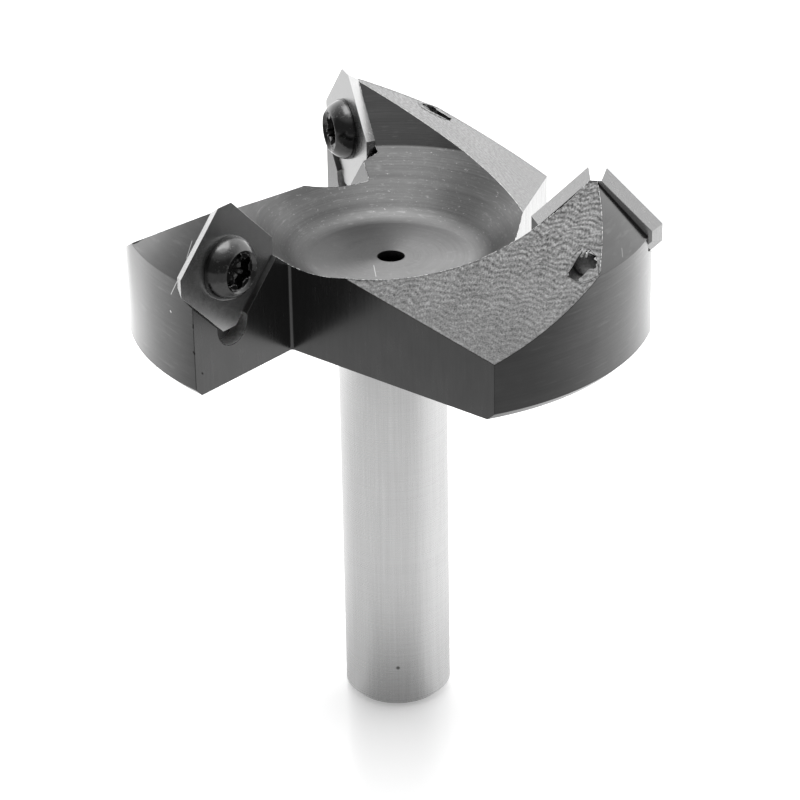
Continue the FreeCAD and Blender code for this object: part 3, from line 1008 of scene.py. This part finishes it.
class SURFACING_OT_burrs(bpy.types.Operator):
    """Lay the burrs that the cutter left where the dish and the slopes meet the milled faces"""

    bl_idname = "surfacing.burrs"
    bl_label = "Burrs"

    def execute(self, context):
        look = context.scene.burr_look
        body = bpy.data.objects["cutter_body_finished"].data
        slots = {}
        for face in body.polygons:
            for key in face.edge_keys:
                slots.setdefault(key, set()).add(face.material_index)
        bm = bmesh.new()
        kept = {}
        for key, found in slots.items():
            heights = [body.vertices[i].co.z for i in key]
            if len(found) < 2 or GROUND_SLOT in found or min(heights) < LOWEST_BURR * MM:
                continue
            reach = max(body.vertices[i].co.xy.length for i in key)
            on_bevel = SCALED_SLOT in found and min(heights) >= LOWEST_BEVEL_BURR * MM
            if TURNED_SLOT not in found or (reach > (CREST_RADIUS + 0.1) * MM and not on_bevel):
                continue
            for index in key:
                if index not in kept:
                    kept[index] = bm.verts.new(body.vertices[index].co)
            bm.edges.new([kept[index] for index in key])
        values = {
            "Spacing": look.spacing,
            "Thickness": look.thickness,
            "Seed": look.seed,
            "Material": bright_burr(),
        }
        burrs = settle(mesh_of("burr_lines", bm), beads_along(), values)
        new_piece("edge_burrs", burrs)
        return {"FINISHED"}


# Inserts, screws and threads


def weighted(mesh, degrees):
    """Return a mesh shaded smooth up to an angle, with large faces keeping their own normals."""
    mesh.shade_smooth()
    mesh.set_sharp_from_angle(angle=math.radians(degrees))
    carrier = bpy.data.objects.new("carrier", mesh)
    bpy.context.scene.collection.objects.link(carrier)
    modifier = carrier.modifiers.new("weights", "WEIGHTED_NORMAL")
    modifier.mode = "FACE_AREA"
    modifier.keep_sharp = True
    graph = bpy.context.evaluated_depsgraph_get()
    made = bpy.data.meshes.new_from_object(carrier.evaluated_get(graph), depsgraph=graph)
    bpy.data.objects.remove(carrier)
    return made


def ring_of(bm, radii, angles, depth):
    """Add a ring of points about the screw's axis, which runs along -Y in wing 1."""
    axis = Vector((INSERT_OUT, 0, INSERT_HEIGHT))
    return [
        bm.verts.new((axis + Vector((r * math.cos(a), -RAKE_OFFSET + depth, r * math.sin(a)))) * MM)
        for r, a in zip(radii, angles)
    ]


def skin(bm, first, second):
    """Join two rings of equal count with quads."""
    for i in range(len(first)):
        j = (i + 1) % len(first)
        bm.faces.new((first[i], first[j], second[j], second[i]))


def insert_mesh(look, wing):
    """Build one insert: eight sided, tapered to the back, with its hole and honed edges."""
    bm = bmesh.new()
    middle = Vector((INSERT_OUT, 0, INSERT_HEIGHT))
    outers = []
    for depth in (0.0, -INSERT_THICKNESS):
        shrink = -depth * math.tan(INSERT_TAPER)
        reach = INSERT_REACH - shrink
        side = HALF_FACET - shrink * math.tan(math.pi / 8)
        outline = [(reach, side), (side, reach), (-side, reach), (-reach, side)]
        outline += [(-x, -z) for x, z in outline]
        outers.append([bm.verts.new((middle + Vector((x, depth - RAKE_OFFSET, z))) * MM) for x, z in outline])
    hole = [(0.0, INSERT_HOLE + 0.15), (-0.15, INSERT_HOLE), (-INSERT_THICKNESS, INSERT_HOLE)]
    angles = even_angles(HOLE_POINTS)
    bores = [ring_of(bm, [radius] * HOLE_POINTS, angles, depth) for depth, radius in hole]
    for first, second in zip(bores, bores[1:]):
        skin(bm, second, first)
    skin(bm, *outers)
    for outer, bore in zip(outers, (bores[0], bores[-1])):
        rims = [bm.edges.get(pair) for ring in (outer, bore) for pair in zip(ring, ring[1:] + ring[:1])]
        bmesh.ops.triangle_fill(bm, edges=rims, use_beauty=True)
    bmesh.ops.recalc_face_normals(bm, faces=bm.faces)
    edges = [e for e in bm.edges if e.calc_face_angle(0) > math.radians(25) and e.calc_length() > 0.5 * MM]
    bmesh.ops.bevel(bm, geom=edges, offset=look.edge_hone, segments=2, profile=0.5, affect="EDGES")
    bmesh.ops.triangulate(bm, faces=[f for f in bm.faces if len(f.verts) > 4])
    side = bm.faces.layers.float.new("side")
    bm.normal_update()
    for face in bm.faces:
        face[side] = float(abs(face.normal.y) < 0.99)
    bm.transform(turn_of(wing).to_4x4())
    return mesh_of(f"insert_{wing + 1}_ground", bm)


class SURFACING_OT_inserts(bpy.types.Operator):
    """Make the three ground inserts"""

    bl_idname = "surfacing.inserts"
    bl_label = "Inserts"

    def execute(self, context):
        look = context.scene.insert_look
        finish = carbide(look)
        for wing in range(WINGS):
            mesh = insert_mesh(look, wing)
            mesh.materials.append(finish)
            new_piece(f"insert_{wing + 1}_ground", mesh, [f"insert_{wing + 1}"])
        return {"FINISHED"}


def socket_reach(angle):
    """Return how far the six-lobe socket reaches from its axis in a direction."""
    sixth = math.pi / 3
    offset = (angle - math.pi / 2) % sixth
    offset = min(offset, sixth - offset)
    middle, lobe, core = 1.65, 0.45, 1.55
    across = middle * math.sin(offset)
    if across >= lobe:
        return core
    return max(core, middle * math.cos(offset) + math.sqrt(lobe**2 - across**2))


def dome_centre():
    """Return the centre of the arc between the head's edge and its top, as (radius, height)."""
    begin, end = Vector(HEAD_EDGE), Vector(HEAD_TOP)
    chord = end - begin
    inward = Vector((-chord.y, chord.x)).normalized()
    return (begin + end) / 2 + inward * math.sqrt(DOME_RADIUS**2 - (chord.length / 2) ** 2)


def screw_mesh():
    """Build one screw of wing 1: domed head, six-lobe socket and plain core."""
    angles = even_angles(SCREW_POINTS)
    bm = bmesh.new()
    # heights and radii, up from the tip
    profile = [(-9.99, 1.3), (-9.6, 1.62), (-0.02, 1.62), (-0.02, 3.62), (0.06, 3.7), (0.3, 3.7)]
    centre = dome_centre()
    first = math.atan2(HEAD_EDGE[1] - centre.y, HEAD_EDGE[0] - centre.x)
    last = math.atan2(HEAD_TOP[1] - centre.y, DOME_END - centre.x)
    for step in range(1, DOME_STEPS + 1):
        angle = first + (last - first) * step / DOME_STEPS
        profile.append((centre.y + DOME_RADIUS * math.sin(angle), centre.x + DOME_RADIUS * math.cos(angle)))
    profile += [(2.19, 2.43), (2.12, 2.36), (1.9, 2.14), (1.84, 2.11)]
    rings = [ring_of(bm, [radius] * SCREW_POINTS, angles, height) for height, radius in profile]
    walls = [socket_reach(angle) for angle in angles]
    for height, shrink in ((1.84, 0.0), (1.79, 0.03), (0.6, 0.05), (0.56, 0.1)):
        rings.append(ring_of(bm, [wall - shrink for wall in walls], angles, height))
    rings.append(ring_of(bm, [0.35] * SCREW_POINTS, angles, 0.5))
    for lower, upper in zip(rings, rings[1:]):
        skin(bm, lower, upper)
    bm.faces.new(rings[0])
    bm.faces.new(rings[-1])
    bmesh.ops.recalc_face_normals(bm, faces=bm.faces)
    return mesh_of("screw", bm)


def thread_solid(root, crest, pitch, start, stop, skirt=None):
    """Build a thread along the screw's axis between two depths, or a tapped one inside a skirt."""
    angles = even_angles(THREAD_POINTS)
    steps = int((stop - start) / (pitch / 10))
    bm = bmesh.new()
    rings = []
    for step in range(steps + 1):
        depth = start + (stop - start) * step / steps
        fade = max(min(1, (depth - start) / (0.5 * pitch), (stop - depth) / (0.5 * pitch)), 0)
        radii = []
        for i in range(THREAD_POINTS):
            phase = (depth / pitch + i / THREAD_POINTS) % 1
            rise = min(max((1 - abs(2 * phase - 1)) * 1.5 - 0.25, 0), 1)
            radii.append(root + (crest - root) * rise * fade)
        rings.append(ring_of(bm, radii, angles, -depth))
    if skirt is None:
        bm.faces.new(rings[0])
        bm.faces.new(rings[-1])
    else:
        rings += [ring_of(bm, [skirt] * THREAD_POINTS, angles, -depth) for depth in (stop, start)]
        rings.append(rings[0])
    for first, second in zip(rings, rings[1:]):
        skin(bm, first, second)
    bmesh.ops.recalc_face_normals(bm, faces=bm.faces)
    return bm


class SURFACING_OT_screws(bpy.types.Operator):
    """Make the three insert screws"""

    bl_idname = "surfacing.screws"
    bl_label = "Screws"

    def execute(self, context):
        look = context.scene.screw_look
        finish = black_screw(look)
        bm = thread_solid(root=1.55, crest=1.98, pitch=look.pitch / MM, start=0.3, stop=9.3)
        bm.from_mesh(screw_mesh())
        # Mark the end faces, which the screw finish paints lighter as painted light.
        end = bm.faces.layers.float.new("end")
        for face in bm.faces:
            face[end] = float(face.calc_center_median().y < -SCREW_END * MM)
        mesh = mesh_of("threaded_screw", bm)
        made = settle(mesh, round_the_axis(), {"Count": WINGS, "Material": finish})
        new_piece("insert_screws_black", weighted(made, SMOOTH_ANGLE), ["insert_screws"])
        return {"FINISHED"}


class SURFACING_OT_lips(bpy.types.Operator):
    """Lay the torn skin that narrows the mouths of the tapped holes"""

    bl_idname = "surfacing.lips"
    bl_label = "Torn lips"

    def execute(self, context):
        look = context.scene.cutter_body_look
        out, fall, normal = slope_axes(0)
        crest = Vector((0, 0, RELIEF_HEIGHT * MM))
        bm = bmesh.new()
        surface = bm.faces.layers.int.new("surface")
        # Layer of painted glints, as on the slopes.
        ridge_glint = bm.verts.layers.float.new("ridge_glint")
        top = [bm.verts.new(crest + (u * out + v * fall) * MM) for u, v in LIP]
        low = [bm.verts.new(vert.co - normal * look.lip_thickness) for vert in top]
        bm.faces.new(top)
        bm.faces.new(low[::-1])
        skin(bm, top, low)
        bmesh.ops.recalc_face_normals(bm, faces=bm.faces)
        bm.normal_update()
        bm.verts.index_update()
        mill_slope(bm, 0, look, surface, ridge_glint)
        bmesh.ops.triangulate(bm, faces=[f for f in bm.faces if len(f.verts) > 3])
        bmesh.ops.translate(bm, vec=normal * look.lip_rise, verts=bm.verts)
        # The lips carry the same painted glints as the slopes.
        finish = scaled_black(look, "torn_black", 0.0)
        made = settle(mesh_of("lips", bm), round_the_axis(), {"Count": WINGS, "Material": finish})
        new_piece("hole_lips", weighted(made, SMOOTH_ANGLE))
        return {"FINISHED"}


class SURFACING_OT_threads(bpy.types.Operator):
    """Cut the threads that show where the tapped holes break out of the slopes"""

    bl_idname = "surfacing.threads"
    bl_label = "Tapped threads"

    def execute(self, context):
        look = context.scene.screw_look
        stop = HOLE_END - RAKE_OFFSET - 0.1
        bm = thread_solid(root=1.695, crest=1.45, pitch=look.pitch / MM, start=9.0, stop=stop, skirt=1.8)
        _, _, normal = slope_axes(0)
        cut = bmesh.ops.bisect_plane(
            bm,
            geom=[*bm.verts, *bm.edges, *bm.faces],
            plane_co=Vector((0, 0, RELIEF_HEIGHT * MM)) - normal * 0.08 * MM,
            plane_no=normal,
            clear_outer=True,
        )
        rim = [item for item in cut["geom_cut"] if isinstance(item, bmesh.types.BMEdge)]
        bmesh.ops.triangle_fill(bm, edges=rim, use_beauty=True)
        bmesh.ops.recalc_face_normals(bm, faces=bm.faces)
        mesh = mesh_of("thread", bm)
        material = bpy.data.materials["tapped_steel"]
        made = settle(mesh, round_the_axis(), {"Count": WINGS, "Material": material})
        new_piece("tapped_threads", weighted(made, THREAD_SMOOTH_ANGLE))
        return {"FINISHED"}


# Stage


def studio_light(world):
    """Set a white studio round the tool: bright behind and above, dimmer towards the camera."""
    world.use_nodes = True
    tree = Tree(world.node_tree)
    for node in list(tree.nodes):
        tree.nodes.remove(node)
    x, y, z = tree.split(tree.wire("ShaderNodeTexCoord", output="Generated"))
    facing = y / (x * x + y * y + 0.0001).math("SQRT")
    dimmed = 1 - 0.45 * z.ramp(0.5, 0.72) * (1 - facing.ramp(0.6, 0.9))
    back = (facing + 0.2 * x.math("MAXIMUM", 0.0)).ramp(-0.5, 0.9) * dimmed
    glow = facing.ramp(0.85, 0.98) * (1 - z.ramp(0.06, 0.22))
    window = (0 - x).ramp(0.6, 0.85) * (1 - z.ramp(0.25, 0.42)) * facing.ramp(-0.1, 0.4)
    over = z.ramp(0.885, 0.955)
    front = 0.15 + 0.45 * z.ramp(0.55, 0.85)
    level = (front * (1 - back) + 2.1 * back + 0.9 * window + 1.4 * glow) * (1 - over) + 2.35 * over
    seen = tree.wire("ShaderNodeLightPath", output="Is Camera Ray")
    strength = tree.grey(level * (1 - seen) + seen)
    shone = tree.wire("ShaderNodeBackground", inputs={"Color": strength, "Strength": 1.0})
    tree.node("ShaderNodeOutputWorld", inputs={"Surface": shone})


def white_floor():
    """White floor: lit by the lamps for the camera, and brighter towards the back in reflections."""
    material, tree, shader = new_material("white_floor")
    place = tree.place()
    x, y, _ = tree.split(place)
    reach = tree.vector("LENGTH", place, output=1)
    shader.inputs["Base Color"].default_value = (0.8, 0.8, 0.8, 1)
    shader.inputs["Roughness"].default_value = 0.12
    path = tree.node("ShaderNodeLightPath").outputs
    kinds = ("Camera", "Glossy", "Transmission")
    seen, glossy, passed = (Wire(tree, path[f"Is {kind} Ray"]) for kind in kinds)
    mirrored = (glossy + passed).clamp()
    tree.links.new(tree.grey(0.25 * seen).socket, shader.inputs["Emission Color"])
    shader.inputs["Emission Strength"].default_value = 1.0
    facing = (y - 0.1 * x) / (reach + 0.1)
    far = 0.45 + 1.7 * facing.ramp(-0.65, 0.8)
    near = 0.8 + 0.3 * ((y + 0.35 * x) / (reach + 0.1)).ramp(-0.6, 0.6)
    spread = reach.ramp(95.0, 130.0)
    corner = (0 - x).ramp(80.0, 115.0) * y.ramp(50.0, 110.0)
    shade = 1 - (1 - reach.ramp(4.0, 40.0)) * (0.25 + 0.4 * (0 - facing).ramp(0.4, 1.0))
    strength = (far * spread + near * (1 - spread)) * (1 - 0.4 * corner) * shade
    shone = tree.wire("ShaderNodeEmission", inputs={"Color": tree.grey(strength), "Strength": 1.0})
    both = tree.wire("ShaderNodeMixShader", inputs={0: mirrored, 1: Wire(tree, shader.outputs[0]), 2: shone})
    tree.links.new(both.socket, material.node_tree.nodes["Material Output"].inputs["Surface"])
    return material


def add_lamp(name, place, aim, size, power):
    """Add a soft square lamp that shines from one place at another."""
    lamp = bpy.data.lights.new(name, "AREA")
    lamp.shape = "SQUARE"
    lamp.size = size
    lamp.energy = power
    holder = bpy.data.objects.new(name, lamp)
    holder.location = place
    holder.rotation_euler = (Vector(aim) - Vector(place)).to_track_quat("-Z", "Y").to_euler()
    bpy.context.scene.collection.objects.link(holder)


class SURFACING_OT_stage(bpy.types.Operator):
    """Set the floor, the light and the camera"""

    bl_idname = "surfacing.stage"
    bl_label = "Stage"

    def execute(self, context):
        look = context.scene.stage_look
        bm = bmesh.new()
        bmesh.ops.create_circle(bm, cap_ends=True, radius=look.floor_size, segments=FLOOR_SIDES)
        floor = bpy.data.objects.new("floor", mesh_of("floor", bm))
        floor.data.materials.append(white_floor())
        context.scene.collection.objects.link(floor)
        world = bpy.data.worlds.new("studio")
        context.scene.world = world
        studio_light(world)
        add_lamp("lamp_over", LAMP_PLACE, LAMP_AIM, LAMP_SIZE, look.lamp_power)
        view = bpy.data.cameras.new("camera")
        view.sensor_width = 36
        view.lens = look.lens
        view.clip_start = 0.01
        camera = bpy.data.objects.new("camera", view)
        turn = Matrix((CAMERA_RIGHT, CAMERA_UP, -Vector(CAMERA_AHEAD))).transposed().to_4x4()
        camera.matrix_world = Matrix.Translation(Vector(CAMERA_PLACE) * MM) @ turn
        context.scene.collection.objects.link(camera)
        context.scene.camera = camera
        context.scene.view_settings.view_transform = "Standard"
        return {"FINISHED"}


class SURFACING_PT_panel(bpy.types.Panel):
    """Buttons for the steps and their sizes"""

    bl_idname = "SURFACING_PT_panel"
    bl_label = "Surfacing bit"
    bl_space_type = "VIEW_3D"
    bl_region_type = "UI"
    bl_category = "Surfacing bit"

    def draw(self, context):
        for step in STEPS:
            self.layout.operator(step.bl_idname, text=step.bl_label)
        for name, group in LOOKS.items():
            box = self.layout.box()
            box.label(text=group.__doc__)
            for key in group.__annotations__:
                box.prop(getattr(context.scene, name), key)


STEPS = (
    SURFACING_OT_body,
    SURFACING_OT_burrs,
    SURFACING_OT_lips,
    SURFACING_OT_inserts,
    SURFACING_OT_screws,
    SURFACING_OT_threads,
    SURFACING_OT_stage,
)


def register():
    for group in (*LOOKS.values(), *STEPS, SURFACING_PT_panel):
        bpy.utils.register_class(group)
    for name, group in LOOKS.items():
        setattr(bpy.types.Scene, name, PointerProperty(type=group))


def unregister():
    for name in LOOKS:
        delattr(bpy.types.Scene, name)
    for group in reversed((*LOOKS.values(), *STEPS, SURFACING_PT_panel)):
        bpy.utils.unregister_class(group)


def main():
    register()
    for step in STEPS:
        space, name = step.bl_idname.split(".")
        getattr(getattr(bpy.ops, space), name)()


if __name__ == "__main__":
    main()
